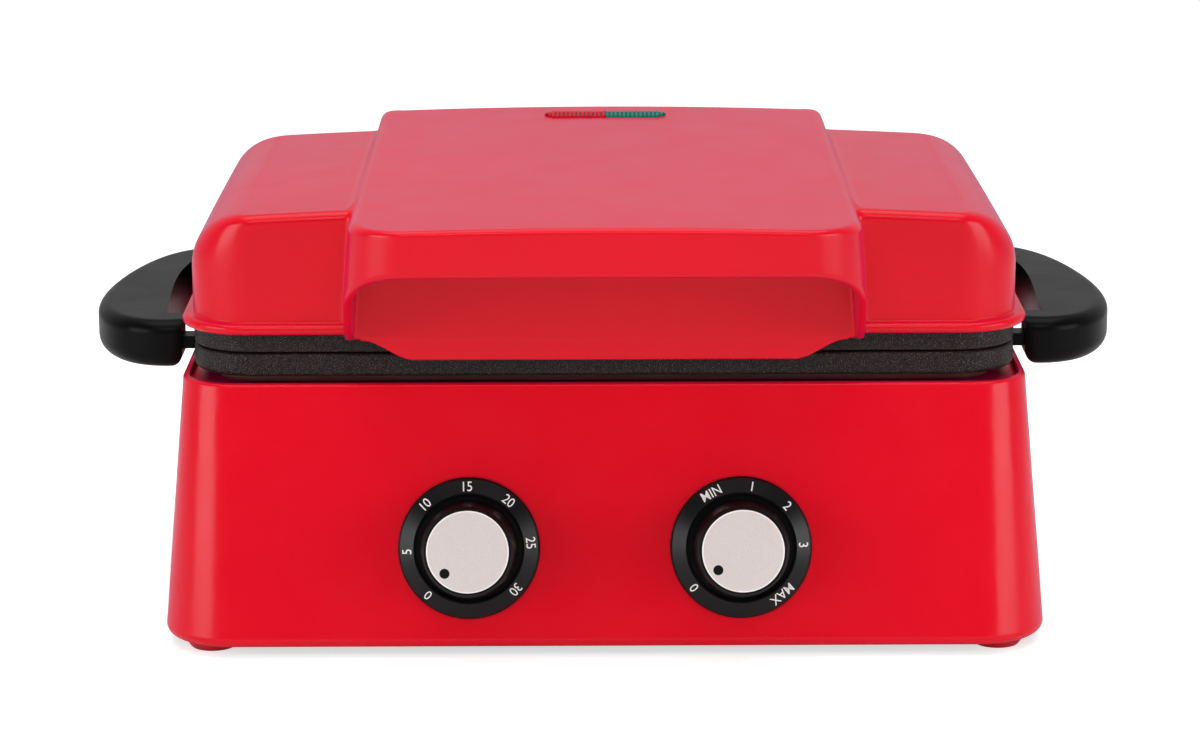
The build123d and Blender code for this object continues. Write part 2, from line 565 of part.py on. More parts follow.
with BuildPart() as lid_shell:
    with BuildSketch(Plane.XY.offset(RIM_Z)):
        frame_sketch(RIM_HALF, RIM_FRONT, RIM_BACK, RIM_RADIUS)
    extrude(amount=RIM_TOP_Z - RIM_Z)
    fillet(lid_shell.faces().filter_by(Axis.Z).edges(), 1.7)
    add(lid_box(0))
    add(panel_rear.part)
    # Hollow inside: room for the plate's rim, the box and the panel
    with BuildSketch(Plane.XY.offset(RIM_Z - 1)):
        frame_sketch(PLATE_HALF + 0.4, PLATE_FRONT - 0.4, PLATE_BACK + 0.4, PLATE_RADIUS + 0.4)
    extrude(amount=SEAT_Z - RIM_Z + 1, mode=Mode.SUBTRACT)
    add(lid_box(LID_WALL), mode=Mode.SUBTRACT)
    hollow_back = PANEL_BACK - PANEL_BACK_R + 1
    with BuildSketch(Plane.XZ.offset(-hollow_back)):
        crowned_outline(PANEL_TOP_HALF - 2.6, PANEL_FOOT_HALF - 2.6, PANEL_CROWN_Z - 2.6, 128)
    extrude(amount=hollow_back - LID_FRONT - LID_WALL, mode=Mode.SUBTRACT)
    # Posts that hold the upper plate and its heat shield
    with BuildSketch(Plane.XY.offset(UPPER_SHIELD_Z + SHEET)):
        with Locations(*UPPER_BOSS_SPOTS):
            Circle(5.5)
    extrude(amount=PANEL_CROWN_Z - 2 - UPPER_SHIELD_Z - SHEET)
    with BuildSketch(Plane.XY.offset(UPPER_SHIELD_Z + SHEET)):
        with Locations(*UPPER_BOSS_SPOTS):
            Circle(2.0)
    extrude(amount=12, mode=Mode.SUBTRACT)
    # Slot for the indicator lenses
    with BuildSketch(Plane.XY.offset(160)):
        with Locations((LENS_X, LENS_Y)):
            Polygon(
                (-LENS_TIP - 0.4, 0),
                (-LENS_SHOULDER, -LENS_HALF_DEPTH - 0.3),
                (LENS_SHOULDER, -LENS_HALF_DEPTH - 0.3),
                (LENS_TIP + 0.4, 0),
                (LENS_SHOULDER, LENS_HALF_DEPTH + 0.3),
                (-LENS_SHOULDER, LENS_HALF_DEPTH + 0.3),
                align=None,
            )
    extrude(amount=30, mode=Mode.SUBTRACT)
    drill(ARM_SEATS, SCREW_HOLE_R, 14)
    add(lid_hood.part, mode=Mode.SUBTRACT)
save(lid_shell.part, "lid_shell")

# Indicator lenses: ribbed halves of one pointed bar
RIB_PITCH = 1.75
for name, side in (("red_lens", -1), ("green_lens", 1)):
    with BuildPart() as lens:
        with BuildSketch(Plane.XY.offset(LENS_BOTTOM_Z)):
            with Locations((LENS_X, LENS_Y)):
                Polygon(
                    (side * 0.05, -LENS_HALF_DEPTH),
                    (side * LENS_SHOULDER, -LENS_HALF_DEPTH),
                    (side * LENS_TIP, 0),
                    (side * LENS_SHOULDER, LENS_HALF_DEPTH),
                    (side * 0.05, LENS_HALF_DEPTH),
                    align=None,
                )
        extrude(amount=LENS_TOP_Z - LENS_BOTTOM_Z)
        with BuildSketch(Plane.XY.offset(LENS_TOP_Z)):
            with Locations((LENS_X + side * 12.25, LENS_Y)):
                with GridLocations(RIB_PITCH, 1, 13, 1):
                    Rectangle(0.7, 2 * LENS_HALF_DEPTH)
        extrude(amount=-0.5, mode=Mode.SUBTRACT)
    save(lens.part, name)

# Lamp holder under the lenses, with one small lamp for each colour
HOLDER_FLOOR_Z = 150.0
with BuildPart() as lamp_holder:
    with BuildSketch(Plane.XY.offset(HOLDER_FLOOR_Z)):
        with Locations((LENS_X, LENS_Y)):
            RectangleRounded(60, 18, 3)
    extrude(amount=LENS_BOTTOM_Z - HOLDER_FLOOR_Z)
    with BuildSketch(Plane.XY.offset(HOLDER_FLOOR_Z + 2)):
        with Locations((LENS_X - 13.5, LENS_Y), (LENS_X + 13.5, LENS_Y)):
            Rectangle(25, 9)
    extrude(amount=30, mode=Mode.SUBTRACT)
save(lamp_holder.part, "lamp_holder")

with BuildPart() as indicator_lamps:
    for side in (-1, 1):
        with BuildSketch(Plane.YZ.offset(LENS_X + side * 13.5 - 8)):
            with Locations((LENS_Y, HOLDER_FLOOR_Z + 5)):
                Circle(3.0)
        extrude(amount=16)
save(indicator_lamps.part, "indicator_lamps")


def revolved(plane, outline):
    """A turned piece. The outline lists (radius, height above the panel) round its half section."""
    with BuildPart() as turned:
        with BuildSketch(lathe_plane(plane)):
            with BuildLine() as half:
                Polyline(*outline, close=True)
            make_face(half.line.edges())
        revolve(axis=Axis(plane.origin, plane.z_dir))
    return turned.part


# Dials: fixed bezels, turning knobs with metal caps, and the controls behind the panel
BUSH_R, BUSH_TOP = 5.0, 2.2
for name, plane, dot_angle in (
    ("timer", TIMER, TIMER_DOT_ANGLE),
    ("thermostat", THERMOSTAT, THERMOSTAT_DOT_ANGLE),
):
    bezel = revolved(
        plane,
        [
            (BUSH_R + 0.2, 0),
            (BEZEL_R, 0),
            (BEZEL_R, 1.4),
            (BEZEL_R - 0.8, BEZEL_EDGE),
            (BEZEL_WELL_R + 0.7, BEZEL_RISE),
            (BEZEL_WELL_R, BEZEL_RISE - 0.3),
            (BEZEL_WELL_R, 1.2),
            (BUSH_R + 0.2, 1.2),
        ],
    )
    save(bezel, f"{name}_bezel")
    dot_x = DOT_ORBIT * cos(radians(dot_angle))
    dot_y = DOT_ORBIT * sin(radians(dot_angle))
    knob = revolved(
        plane,
        [
            (SHAFT_R, KNOB_FOOT),
            (KNOB_FOOT_R, KNOB_FOOT),
            (KNOB_FOOT_R, KNOB_FOOT + 2.4),
            (KNOB_TOP_R + 0.3, KNOB_TOP - 0.8),
            (KNOB_TOP_R - 0.5, KNOB_TOP),
            (CAP_R, KNOB_TOP),
            (CAP_R, KNOB_TOP - 1.4),
            (SHAFT_R, KNOB_TOP - 1.4),
        ],
    )
    save(knob, f"{name}_knob")
    with BuildPart() as cap:
        with BuildSketch(plane.offset(KNOB_TOP - 1.4)):
            Circle(CAP_R)
        extrude(amount=CAP_TOP - KNOB_TOP + 1.4)
        fillet(cap.edges().filter_by(lambda e: plane.to_local_coords(e.center()).Z > CAP_TOP - 0.1), 0.5)
        with BuildSketch(plane.offset(CAP_TOP - 0.6)):
            with Locations((dot_x, dot_y)):
                Circle(DOT_R)
        extrude(amount=2, mode=Mode.SUBTRACT)
    save(cap.part, f"{name}_knob_cap")
    with BuildPart() as dot:
        with BuildSketch(plane.offset(CAP_TOP - 0.6)):
            with Locations((dot_x, dot_y)):
                Circle(DOT_R)
        extrude(amount=0.6)
    save(dot.part, f"{name}_knob_dot")
    with BuildPart() as shaft:
        with BuildSketch(plane.offset(-16)):
            Circle(SHAFT_R)
        extrude(amount=KNOB_TOP - 1.4 + 16)
    save(shaft.part, f"{name}_shaft")
    with BuildPart() as control:
        with BuildSketch(plane.offset(-3.2)):
            if name == "timer":
                RectangleRounded(44, 44, 4)
            else:
                Circle(18)
        extrude(amount=-30 if name == "timer" else -20)
        with BuildSketch(plane.offset(-3.4)):
            Circle(BUSH_R)
        extrude(amount=BUSH_TOP + 3.4)
        with BuildSketch(plane.offset(BUSH_TOP)):
            Circle(SHAFT_R + 0.06)
        extrude(amount=-BUSH_TOP - 16.3, mode=Mode.SUBTRACT)
    save(control.part, f"{name}_body")

# Thermostat bulb under the lower plate, with its capillary
BULB_Z = DECK_UNDER_Z - 2.5
with BuildPart() as thermostat_bulb:
    with BuildSketch(Plane.YZ.offset(70)):
        with Locations((PLATE_MID_Y, BULB_Z)):
            Circle(2.5)
    extrude(amount=56)
    with BuildLine() as capillary:
        FilletPolyline(
            (72, PLATE_MID_Y, BULB_Z),
            (58, PLATE_MID_Y, BULB_Z),
            (58, PLATE_MID_Y, 68),
            (52, -78, 68),
            (51.7, -80, 57),
            radius=[6, 6, 5],
        )
    with BuildSketch(Plane(origin=capillary.line @ 0, z_dir=capillary.line % 0)):
        Circle(0.9)
    sweep()
save(thermostat_bulb.part, "thermostat_bulb")

with BuildPart() as thermal_fuse:
    with BuildSketch(Plane.YZ.offset(-12)):
        with Locations((PLATE_MID_Y, DECK_UNDER_Z - 2.2)):
            Circle(2.2)
    extrude(amount=24)
save(thermal_fuse.part, "thermal_fuse")

with BuildPart() as terminal_block:
    with BuildSketch(Plane.XY.offset(COVER_TOP_Z)):
        with Locations((GLAND_X - 8, 92)):
            Rectangle(34, 18)
    extrude(amount=14)
    with BuildSketch(Plane.XY.offset(COVER_TOP_Z + 14)):
        with Locations((GLAND_X - 8, 92)):
            with GridLocations(11, 9, 3, 2):
                Circle(2.0)
    extrude(amount=-6, mode=Mode.SUBTRACT)
save(terminal_block.part, "terminal_block")

gland = revolved(
    GLAND,
    [
        (GLAND_BORE_R, 7.5),
        (GLAND_BORE_R, -9),
        (9, -9),
        (9, -BASE_WALL),
        (6, -BASE_WALL),
        (6, 0),
        (10, 0),
        (10, 2.5),
        (7, 7.5),
    ],
)
save(gland, "cord_gland")

# Hinge: a bracket with two ears on the base and an arm between them on the lid
HINGE_FOOT_Z = 76.0
ear_back = rear_wall_y(HINGE_FOOT_Z)
for name, x in (("left", -HINGE_X), ("right", HINGE_X)):
    with BuildPart() as bracket:
        for side in (-1, 1):
            inner = ARM_HALF + EAR_GAP
            with BuildSketch(Plane.YZ.offset(x + side * (inner + EAR / 2))):
                with BuildLine():
                    Polyline(
                        (rear_wall_y(HINGE_FOOT_Z), HINGE_FOOT_Z),
                        (rear_wall_y(BASE_TOP_Z - 2), BASE_TOP_Z - 2),
                        (HINGE_Y - KNUCKLE_R, HINGE_Z),
                        (HINGE_Y + KNUCKLE_R, HINGE_Z),
                        (ear_back + 6, HINGE_FOOT_Z),
                        close=True,
                    )
                make_face()
                with Locations((HINGE_Y, HINGE_Z)):
                    Circle(KNUCKLE_R)
                with Locations((HINGE_Y, HINGE_Z)):
                    Circle(PIN_R, mode=Mode.SUBTRACT)
            extrude(amount=EAR / 2, both=True)
        with BuildSketch(Plane.YZ.offset(x)):
            with BuildLine():
                Polyline(
                    (rear_wall_y(HINGE_FOOT_Z), HINGE_FOOT_Z),
                    (rear_wall_y(BASE_TOP_Z - 2), BASE_TOP_Z - 2),
                    (rear_wall_y(BASE_TOP_Z - 2) + 2.5, BASE_TOP_Z - 2),
                    (rear_wall_y(HINGE_FOOT_Z) + 2.5, HINGE_FOOT_Z),
                    close=True,
                )
            make_face()
        extrude(amount=24, both=True)
        drill([seat.offset(-5) for seat in BRACKET_SEATS], SCREW_HOLE_R, 14)
    save(bracket.part, f"hinge_bracket_{name}")
    with BuildPart() as arm:
        with BuildSketch(Plane.YZ.offset(x)):
            with BuildLine():
                Polyline(
                    (HINGE_Y - KNUCKLE_R, HINGE_Z),
                    (133.2, 121),
                    (132.4, 127.4),
                    (LID_BACK - 8, 127.4),
                    (LID_BACK - 8, 147),
                    (LID_BACK + 2.5, 147),
                    (HINGE_Y + KNUCKLE_R, HINGE_Z),
                    close=True,
                )
            make_face()
            with Locations((HINGE_Y, HINGE_Z)):
                Circle(KNUCKLE_R)
            with Locations((HINGE_Y, HINGE_Z)):
                Circle(PIN_R + 0.06, mode=Mode.SUBTRACT)
        extrude(amount=ARM_HALF, both=True)
        with BuildSketch(Plane.XZ.offset(-LID_BACK - 2.5)):
            with Locations((x, 137.4)):
                RectangleRounded(42, 19.2, 4)
        extrude(amount=10.5)
        add(lid_box(0), mode=Mode.SUBTRACT)
        drill([seat.offset(-5) for seat in ARM_SEATS], SCREW_HOLE_R, 14)
    save(arm.part, f"hinge_arm_{name}")

with BuildPart() as hinge_pins:
    reach = ARM_HALF + EAR_GAP + EAR
    for x in (-HINGE_X, HINGE_X):
        with BuildSketch(Plane.YZ.offset(x - reach)):
            with Locations((HINGE_Y, HINGE_Z)):
                Circle(PIN_R)
        extrude(amount=2 * reach)
        with BuildSketch(Plane.YZ.offset(x - reach), Plane.YZ.offset(x + reach + 1.6)):
            with Locations((HINGE_Y, HINGE_Z)):
                Circle(5.0)
        extrude(amount=-1.6)
save(hinge_pins.part, "hinge_pins")

fixing_screws("hinge_bracket_screws", BRACKET_SEATS, 3.4, 1.8, 1.5, 8)
fixing_screws("hinge_arm_screws", ARM_SEATS, 3.4, 1.8, 1.5, 8)

# Side handles: D loops fixed to the sides of the lower plate
HANDLE_OUTER = [(165, -45.5), (174, -46.5), (186, -42), (196, -30), (202, -10), (203, 10)]
HANDLE_OUTER += [(200, 38), (194.5, 62), (186, 83), (176, 94.5), (165, 97)]
LUG_SPOTS = (-38.5, 88.5)
for name, side in (("left", -1), ("right", 1)):
    with BuildPart() as handle:
        with BuildSketch(Plane.XY.offset(HANDLE_BOTTOM_Z)):
            with BuildLine():
                Spline(*[(side * x, y) for x, y in HANDLE_OUTER])
                Line((side * 165, 97), (side * 165, -45.5))
            make_face()
        extrude(amount=HANDLE_TOP_Z - HANDLE_BOTTOM_Z)
        grip = handle.edges().filter_by(lambda e: e.geom_type == GeomType.BSPLINE)
        fillet(grip.sort_by(Axis.Z)[-1], 5.0)
        fillet(handle.faces().sort_by(Axis.Z)[0].edges(), 6.5)
        with BuildSketch(Plane.XY.offset(HANDLE_BOTTOM_Z - 1)):
            with BuildLine():
                Polyline((side * 169, 80), (side * 164, 80), (side * 164, -31), (side * 173.4, -31))
                Spline(*[(side * x, y) for x, y in ((173.4, -31), (174.6, 10), (173.4, 60), (169, 80))])
            make_face()
        extrude(amount=30, mode=Mode.SUBTRACT)
        with BuildSketch(Plane.XY.offset(TAB_BOTTOM_Z)):
            with Locations(*[(side * (PLATE_HALF + 4), y) for y in LUG_SPOTS]):
                Rectangle(8, 9)
        extrude(amount=TAB_TOP_Z - TAB_BOTTOM_Z)
        drill(PIN_SEATS, 1.7, 16)
    save(handle.part, f"side_handle_{name}")

with BuildPart() as handle_pins:
    with BuildSketch(*PIN_SEATS):
        Circle(1.6)
    extrude(amount=15)
save(handle_pins.part, "handle_pins")
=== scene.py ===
"""Looks of the lava cake maker: materials, dial numerals, the smooth lid, stage, lights and camera."""

import json
from math import atan2, cos, pi, radians, sin, tan

import bmesh
import bpy
import numpy as np
from mathutils import Matrix, Vector

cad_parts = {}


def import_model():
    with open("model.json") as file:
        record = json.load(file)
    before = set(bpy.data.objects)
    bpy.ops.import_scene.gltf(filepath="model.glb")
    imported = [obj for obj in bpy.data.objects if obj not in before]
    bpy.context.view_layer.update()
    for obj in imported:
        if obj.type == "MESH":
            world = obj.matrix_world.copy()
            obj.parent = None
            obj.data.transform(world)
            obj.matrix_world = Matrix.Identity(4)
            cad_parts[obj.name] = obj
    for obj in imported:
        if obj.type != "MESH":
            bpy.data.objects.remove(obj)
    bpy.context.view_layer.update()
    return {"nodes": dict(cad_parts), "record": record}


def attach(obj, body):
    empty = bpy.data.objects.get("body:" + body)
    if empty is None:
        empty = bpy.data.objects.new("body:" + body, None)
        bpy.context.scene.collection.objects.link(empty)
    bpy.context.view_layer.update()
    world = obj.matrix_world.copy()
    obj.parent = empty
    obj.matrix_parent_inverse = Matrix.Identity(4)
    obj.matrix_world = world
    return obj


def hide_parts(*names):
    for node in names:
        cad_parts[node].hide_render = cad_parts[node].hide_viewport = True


MM = 0.001

# The leaning front and the dials on it, in millimetres
FRONT_FOOT_Y, FRONT_FOOT_Z, FRONT_RUN, FRONT_RISE = -111.5, 4.0, 21.5, 99.0
LEAN = atan2(FRONT_RUN, FRONT_RISE)
DIAL_Z = 42.0
DIAL_Y = FRONT_FOOT_Y + (DIAL_Z - FRONT_FOOT_Z) / FRONT_RISE * FRONT_RUN
DIAL_X = {"timer": -51.7, "thermostat": 51.7}

# The bezel's cone, from its inner to its outer edge: radius, then height over the panel
CONE_IN_R, CONE_IN_Z, CONE_OUT_R, CONE_OUT_Z = 21.1, 4.6, 26.2, 2.4
NUMERAL_SIZE, NUMERAL_NARROW, NUMERAL_ORBIT, NUMERAL_LIFT = 5.6, 0.84, 23.4, 0.06
NUMERAL_THICK, NUMERAL_BOLD = 0.02, 0.01
CAP_RING_R, CAP_RING_THICK, CAP_RING_Z = 15.2, 0.32, 21.72

# The lenses' middle and the pitch of their ribs
LENS_X, RIB_PITCH = 1.5, 1.75


# Material helpers


class Shader:
    """A Principled material with helpers that add procedural nodes to it."""

    def __init__(self, name):
        self.material = bpy.data.materials.new(name)
        self.material.use_nodes = True
        self.tree = self.material.node_tree
        self.bsdf = self.tree.nodes["Principled BSDF"]
        self.place = self.tree.nodes.new("ShaderNodeTexCoord").outputs["Object"]

    def set(self, **values):
        for key, value in values.items():
            self.bsdf.inputs[key.replace("_", " ").title().replace("Ior", "IOR")].default_value = value
        return self

    def node(self, kind, **settings):
        made = self.tree.nodes.new(kind)
        for key, value in settings.items():
            setattr(made, key, value)
        return made

    def link(self, source, target):
        self.tree.links.new(source, target)

    def stretched(self, scale):
        mapping = self.node("ShaderNodeMapping")
        mapping.inputs["Scale"].default_value = scale
        self.link(self.place, mapping.inputs["Vector"])
        return mapping.outputs["Vector"]

    def noise(self, scale, detail=3.0, roughness=0.5, place=None):
        made = self.node("ShaderNodeTexNoise")
        made.inputs["Scale"].default_value = scale
        made.inputs["Detail"].default_value = detail
        made.inputs["Roughness"].default_value = roughness
        self.link(place or self.place, made.inputs["Vector"])
        return made.outputs["Fac"]

    def span(self, value, low, high, new_low, new_high):
        made = self.node("ShaderNodeMapRange")
        limits = {"From Min": low, "From Max": high, "To Min": new_low, "To Max": new_high}
        for key, number in limits.items():
            made.inputs[key].default_value = number
        self.link(value, made.inputs["Value"])
        return made.outputs["Result"]

    def mix(self, share, first, second):
        made = self.node("ShaderNodeMix", data_type="RGBA")
        for socket, color in ((made.inputs[6], first), (made.inputs[7], second)):
            if isinstance(color, bpy.types.NodeSocket):
                self.link(color, socket)
            else:
                socket.default_value = (*color, 1.0)
        self.link(share, made.inputs[0])
        return made.outputs[2]

    def color(self, socket):
        self.link(socket, self.bsdf.inputs["Base Color"])
        return self

    def roughness(self, socket):
        self.link(socket, self.bsdf.inputs["Roughness"])
        return self

    def bump(self, height, strength, distance):
        made = self.node("ShaderNodeBump")
        made.inputs["Strength"].default_value = strength
        made.inputs["Distance"].default_value = distance * MM
        self.link(height, made.inputs["Height"])
        self.link(made.outputs["Normal"], self.bsdf.inputs["Normal"])
        return self


def shade(color, factor):
    return tuple(min(1.0, channel * factor) for channel in color)


def plain(name, color, rough, variation, grain, bump, **values):
    """A moulded or coated surface: soft colour variation, uneven roughness and a fine grain."""
    shader = Shader(name).set(**values)
    patches = shader.span(shader.noise(18.0), 0.3, 0.7, 0.0, 1.0)
    shader.color(shader.mix(patches, shade(color, 1 - variation), shade(color, 1 + variation)))
    shader.roughness(shader.span(shader.noise(35.0), 0.3, 0.7, rough * 0.9, rough * 1.12))
    shader.bump(shader.noise(grain, 2.0), bump, 0.1)
    return shader.material


def red_paint():
    color = (0.72, 0.001, 0.013)
    shader = Shader("red_paint").set(specular_ior_level=0.26, sheen_weight=0.13, sheen_roughness=0.4)
    shader.set(sheen_tint=(0.35, 0.1, 0.88, 1.0))
    patches = shader.span(shader.noise(9.0), 0.3, 0.7, 0.0, 1.0)
    shader.color(shader.mix(patches, shade(color, 0.97), shade(color, 1.03)))
    shader.roughness(shader.span(shader.noise(60.0), 0.3, 0.7, 0.22, 0.27))
    shader.bump(shader.noise(210.0, 1.0), 0.03, 0.15)
    return shader.material


def nonstick():
    """Dark coating with a dense scatter of pale and tan flecks."""
    shader = Shader("nonstick").set(specular_ior_level=0.2)
    fine = shader.noise(2600.0, 1.0)
    coarse = shader.noise(1200.0, 2.0)
    patches = shader.span(coarse, 0.35, 0.65, 0.0, 1.0)
    body = shader.mix(patches, (0.006, 0.004, 0.004), (0.019, 0.012, 0.012))
    pale = shader.span(fine, 0.60, 0.68, 0.0, 1.0)
    shader.color(shader.mix(pale, body, (0.12, 0.095, 0.09)))
    shader.roughness(shader.span(coarse, 0.35, 0.65, 0.38, 0.55))
    shader.bump(shader.noise(900.0, 2.0), 0.25, 0.12)
    return shader.material


def brushed(name, color, rough, metallic, stretch=(60.0, 900.0, 900.0)):
    """Metal with fine straight brush marks."""
    shader = Shader(name).set(metallic=metallic)
    marks = shader.noise(1.0, 3.0, 0.6, shader.stretched(stretch))
    shader.color(shader.mix(shader.span(marks, 0.3, 0.7, 0.0, 1.0), shade(color, 0.93), shade(color, 1.05)))
    shader.roughness(shader.span(marks, 0.3, 0.7, rough * 0.85, rough * 1.2))
    shader.bump(marks, 0.08, 0.05)
    return shader.material


def lens(name, color, painted_glow):
    """Coloured translucent plastic, with painted shade between its ribs and painted light of its own
    colour, as if lit from below.
    """
    shader = Shader(name).set(specular_ior_level=0.08)
    split = shader.node("ShaderNodeSeparateXYZ")
    shader.link(shader.place, split.inputs["Vector"])
    turn = shader.node("ShaderNodeMath", operation="MULTIPLY_ADD")
    shader.link(split.outputs["X"], turn.inputs[0])
    turn.inputs[1].default_value = 2 * pi / (RIB_PITCH * MM)
    turn.inputs[2].default_value = -2 * pi * LENS_X / RIB_PITCH
    wave = shader.node("ShaderNodeMath", operation="COSINE")
    shader.link(turn.outputs[0], wave.inputs[0])
    # painted shade: the colour is darkened between the ribs, where shade falls
    painted_groove_shade = shader.span(wave.outputs[0], 0.1, 0.8, 0.0, 1.0)
    patches = shader.span(shader.noise(120.0), 0.3, 0.7, 0.0, 1.0)
    body = shader.mix(patches, shade(color, 0.85), shade(color, 1.15))
    shader.color(shader.mix(painted_groove_shade, body, shade(color, 0.25)))
    shader.roughness(shader.span(shader.noise(300.0), 0.3, 0.7, 0.4, 0.5))
    # painted light: the lens emits its own colour, though no lamp in the scene lights it
    shader.bsdf.inputs["Emission Color"].default_value = (*color, 1.0)
    shader.bsdf.inputs["Emission Strength"].default_value = painted_glow
    shader.bump(shader.noise(500.0), 0.1, 0.05)
    return shader.material


def black_plastic():
    color = (0.004, 0.004, 0.005)
    return plain("black_plastic", color, 0.30, 0.15, 900.0, 0.08, specular_ior_level=0.3)


def handle_plastic():
    color = (0.003, 0.003, 0.003)
    return plain("handle_plastic", color, 0.30, 0.12, 1400.0, 0.12, specular_ior_level=0.08)


def dress_frame(frame):
    """Gives every carried-over CAD node its finished material, by its record slot."""
    finishes = {
        "red_paint": red_paint(),
        "red_plastic": plain("red_plastic", (0.6, 0.003, 0.014), 0.3, 0.04, 500.0, 0.05, coat_weight=0.3),
        "black_plastic": black_plastic(),
        "handle_plastic": handle_plastic(),
        "nonstick": nonstick(),
        "screw_steel": brushed("screw_steel", (0.55, 0.55, 0.55), 0.35, 1.0),
        "hinge_steel": plain("hinge_steel", (0.012, 0.012, 0.013), 0.4, 0.15, 700.0, 0.15),
        "sheet_aluminium": brushed("sheet_aluminium", (0.75, 0.75, 0.76), 0.4, 1.0),
        "element_steel": brushed("element_steel", (0.22, 0.2, 0.18), 0.5, 0.9),
        "brass_parts": brushed("brass_parts", (0.7, 0.45, 0.2), 0.35, 1.0),
        "white_plastic": plain("white_plastic", (0.75, 0.73, 0.68), 0.45, 0.03, 600.0, 0.06),
        "red_lens": lens("red_lens", (0.58, 0.004, 0.015), 0.08),
        "green_lens": lens("green_lens", (0.006, 0.19, 0.15), 0.1),
        "lamp_glass": lens("lamp_glass", (0.8, 0.45, 0.25), 0.0),
        "cap_metal": brushed("cap_metal", (0.80, 0.73, 0.705), 0.4, 0.3, (2400.0, 100.0, 2400.0)),
    }
    slots = {part["node"]: part["material_slot"] for part in frame["record"]["subparts"]}
    for node, obj in frame["nodes"].items():
        for slot in obj.material_slots:
            slot.material = finishes[slots[node]]
    return finishes


def mesh_object(name, mesh, material, body):
    """Adds a mesh as a piece that rides on a body."""
    obj = bpy.data.objects.new(name, mesh)
    bpy.context.scene.collection.objects.link(obj)
    mesh.materials.append(material)
    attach(obj, body)
    return obj


# Dial numerals


def dial_axes(name):
    """The dial's centre on the panel, and its right, up and outward directions."""
    origin = Vector((DIAL_X[name], DIAL_Y, DIAL_Z)) * MM
    outward = Vector((0, -cos(LEAN), sin(LEAN)))
    right = Vector((1, 0, 0))
    return origin, right, outward.cross(right), outward


def text_mesh(words, size):
    """The faces of a line of text, centred on the origin."""
    curve = bpy.data.curves.new("words", "FONT")
    curve.body = words
    curve.size = size
    curve.align_x = "CENTER"
    curve.align_y = "CENTER"
    curve.extrude = NUMERAL_THICK * MM
    curve.offset = NUMERAL_BOLD * MM
    obj = bpy.data.objects.new("words", curve)
    bpy.context.scene.collection.objects.link(obj)
    bpy.context.view_layer.update()
    mesh = bpy.data.meshes.new_from_object(obj.evaluated_get(bpy.context.evaluated_depsgraph_get()))
    bpy.data.objects.remove(obj)
    return mesh


def numerals(name, labels, material):
    """White labels on the bezel's cone, with their tops outward. Angles run clockwise from the top."""
    origin, right, up, outward = dial_axes(name)
    fall = atan2(CONE_IN_Z - CONE_OUT_Z, CONE_OUT_R - CONE_IN_R)
    height = CONE_IN_Z - (NUMERAL_ORBIT - CONE_IN_R) * tan(fall) + NUMERAL_LIFT
    whole = bmesh.new()
    for words, degrees_cw in labels:
        turn = radians(degrees_cw)
        radial = right * sin(turn) + up * cos(turn)
        along = right * cos(turn) - up * sin(turn)
        top = radial * cos(fall) - outward * sin(fall)
        normal = outward * cos(fall) + radial * sin(fall)
        mesh = text_mesh(words, NUMERAL_SIZE * MM)
        place = Matrix((along * NUMERAL_NARROW, top, normal)).transposed().to_4x4()
        place.translation = origin + radial * NUMERAL_ORBIT * MM + outward * height * MM
        mesh.transform(place)
        whole.from_mesh(mesh)
        bpy.data.meshes.remove(mesh)
    mesh = bpy.data.meshes.new(f"{name}_numerals")
    whole.to_mesh(mesh)
    whole.free()
    mesh_object(f"{name}_numerals", mesh, material, "base")


def painted_highlight_ring(name, material):
    """A white ring around a knob's metal cap: a painted highlight on the cap's bevel."""
    origin, right, up, outward = dial_axes(name)
    bpy.ops.mesh.primitive_torus_add(
        major_radius=CAP_RING_R * MM,
        minor_radius=CAP_RING_THICK * MM,
        major_segments=96,
        minor_segments=12,
    )
    made = bpy.context.object
    mesh = made.data
    bpy.data.objects.remove(made)
    place = Matrix((right, up, outward)).transposed().to_4x4()
    place.translation = origin + outward * CAP_RING_Z * MM
    mesh.transform(place)
    mesh.shade_smooth()
    mesh_object(f"{name}_painted_highlight_ring", mesh, material, f"{name}_knob")


def painted_highlight_rings():
    """Both painted highlight rings, in the material they share."""
    # near-white and not metal: painted highlight standing in for the shine on the cap's edge
    highlight_paint = plain("cap_edge_highlight", (0.95, 0.93, 0.92), 0.25, 0.02, 900.0, 0.03)
    for name in DIAL_X:
        painted_highlight_ring(name, highlight_paint)


def dial_labels():
    """Each label with its angle as the photo shows it."""
    ink = plain("label_ink", (0.92, 0.92, 0.92), 0.5, 0.03, 900.0, 0.05)
    minutes = (
        ("0", -138.6), ("5", -92.8), ("10", -45), ("15", -1.9), ("20", 39.9), ("25", 85), ("30", 131.4),
    )
    heats = (("0", -130.2), ("MIN", -28.9), ("1", 10.2), ("2", 48), ("3", 87.7), ("MAX", 138.8))
    numerals("timer", minutes, ink)
    numerals("thermostat", heats, ink)


# The smooth lid
#
# Here lengths are millimetres. A field tells how far outside a shape each point lies, and is negative
# inside. Fields are joined with rounded edges, and the mesh is the surface where the whole field is zero.

